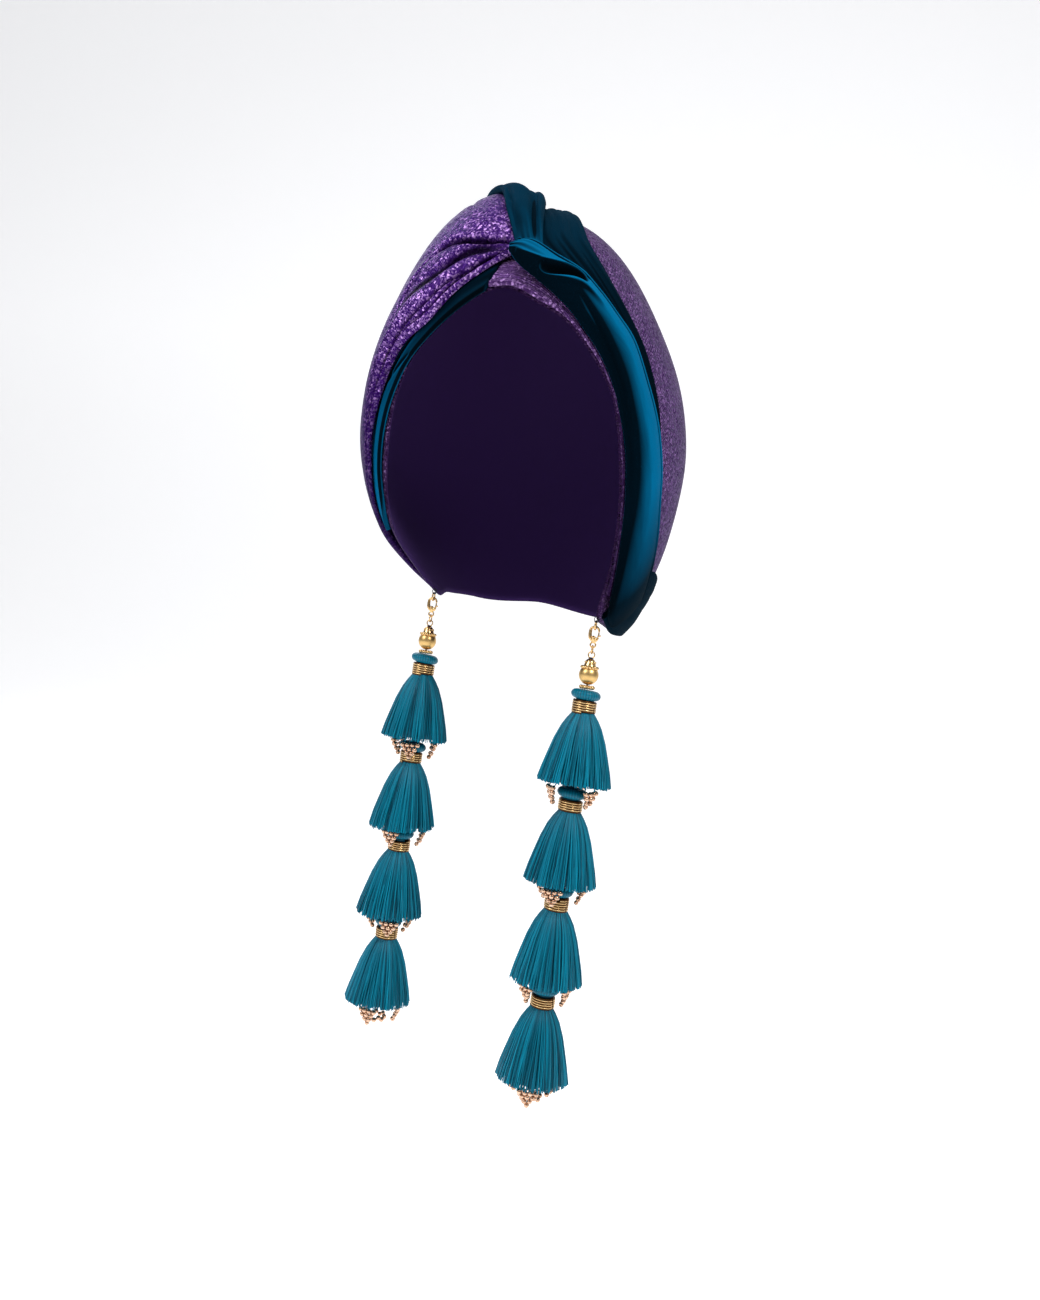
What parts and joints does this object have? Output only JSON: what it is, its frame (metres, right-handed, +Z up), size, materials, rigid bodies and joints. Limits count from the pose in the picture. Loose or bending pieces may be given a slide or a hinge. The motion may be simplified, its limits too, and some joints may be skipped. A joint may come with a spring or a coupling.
{
  "type": "twist turban",
  "caption": "Twist turban of two folded cloths knotted over the brow, with a clipped tassel drop at each side of its hem.",
  "frame": {"origin": "the middle of the wearer's head, on the line between the ears, where the head fills the turban", "axes": "+Z up, -Y the way that the face looks, +X the wearer's left"},
  "size_m": [0.1731, 0.2064, 0.4617],
  "materials": {
    "lurex": "purple lurex knit with fine ribs, metallic sparkle",
    "velvet": "teal stretch velvet, short pile, bright at the folds",
    "silk": "teal tassel thread, hanging strands",
    "gold": "antique gold plate, satin on the bead",
    "bronze": "wound bronze gold metallic thread"
  },
  "bodies": {
    "turban": {"crown_cap": "lurex", "lurex_tongue": "lurex", "velvet_hem_left": "velvet", "velvet_panel_right": "velvet", "velvet_ear_fold": "velvet", "lurex_band_left": "lurex", "velvet_band_right": "velvet", "velvet_knot_wrap": "velvet", "right_hem_ring": "gold", "left_hem_ring": "gold"},
    "right_clasp": {"right_clasp_body": "gold"},
    "right_lever": {"right_clasp_lever": "gold"},
    "right_drop": {"right_jump_ring": "gold", "right_bead_pin": "gold", "right_bead_cap": "gold", "right_gold_bead": "gold", "right_spacer": "gold", "right_tassel_1": "silk", "right_gold_band_1": "bronze", "right_bead_collar_1": "gold", "right_tassel_2": "silk", "right_gold_band_2": "bronze", "right_bead_collar_2": "gold", "right_tassel_3": "silk", "right_gold_band_3": "bronze", "right_bead_collar_3": "gold", "right_tassel_4": "silk", "right_gold_band_4": "bronze", "right_bead_collar_4": "gold"},
    "left_clasp": {"left_clasp_body": "gold"},
    "left_lever": {"left_clasp_lever": "gold"},
    "left_drop": {"left_jump_ring": "gold", "left_bead_pin": "gold", "left_bead_cap": "gold", "left_gold_bead": "gold", "left_spacer": "gold", "left_tassel_1": "silk", "left_gold_band_1": "bronze", "left_bead_collar_1": "gold", "left_tassel_2": "silk", "left_gold_band_2": "bronze", "left_bead_collar_2": "gold", "left_tassel_3": "silk", "left_gold_band_3": "bronze", "left_bead_collar_3": "gold", "left_tassel_4": "silk", "left_gold_band_4": "bronze", "left_bead_collar_4": "gold"}
  },
  "joints": [
    {"name": "right_clasp_swing", "type": "hinge", "parent": "turban", "child": "right_clasp", "pos_m": [0.05323, -0.02832, -0.06409], "axis": [1, 0, 0], "range_deg": [-30, 30]},
    {"name": "right_lever_press", "type": "hinge", "parent": "right_clasp", "child": "right_lever", "pos_m": [0.05533, -0.02832, -0.06979], "axis": [0, -1, 0], "range_deg": [0, 20], "stiffness_Nm_per_rad": 0.002},
    {"name": "right_drop_swing", "type": "hinge", "parent": "right_clasp", "child": "right_drop", "pos_m": [0.05323, -0.02832, -0.07404], "axis": [0, 1, 0], "range_deg": [-25, 25]},
    {"name": "left_clasp_swing", "type": "hinge", "parent": "turban", "child": "left_clasp", "pos_m": [-0.04552, 0.01512, -0.05913], "axis": [1, 0, 0], "range_deg": [-30, 30]},
    {"name": "left_lever_press", "type": "hinge", "parent": "left_clasp", "child": "left_lever", "pos_m": [-0.04342, 0.01512, -0.06483], "axis": [0, -1, 0], "range_deg": [0, 20], "stiffness_Nm_per_rad": 0.002},
    {"name": "left_drop_swing", "type": "hinge", "parent": "left_clasp", "child": "left_drop", "pos_m": [-0.04552, 0.01512, -0.06908], "axis": [0, 1, 0], "range_deg": [-25, 25]}
  ]
}
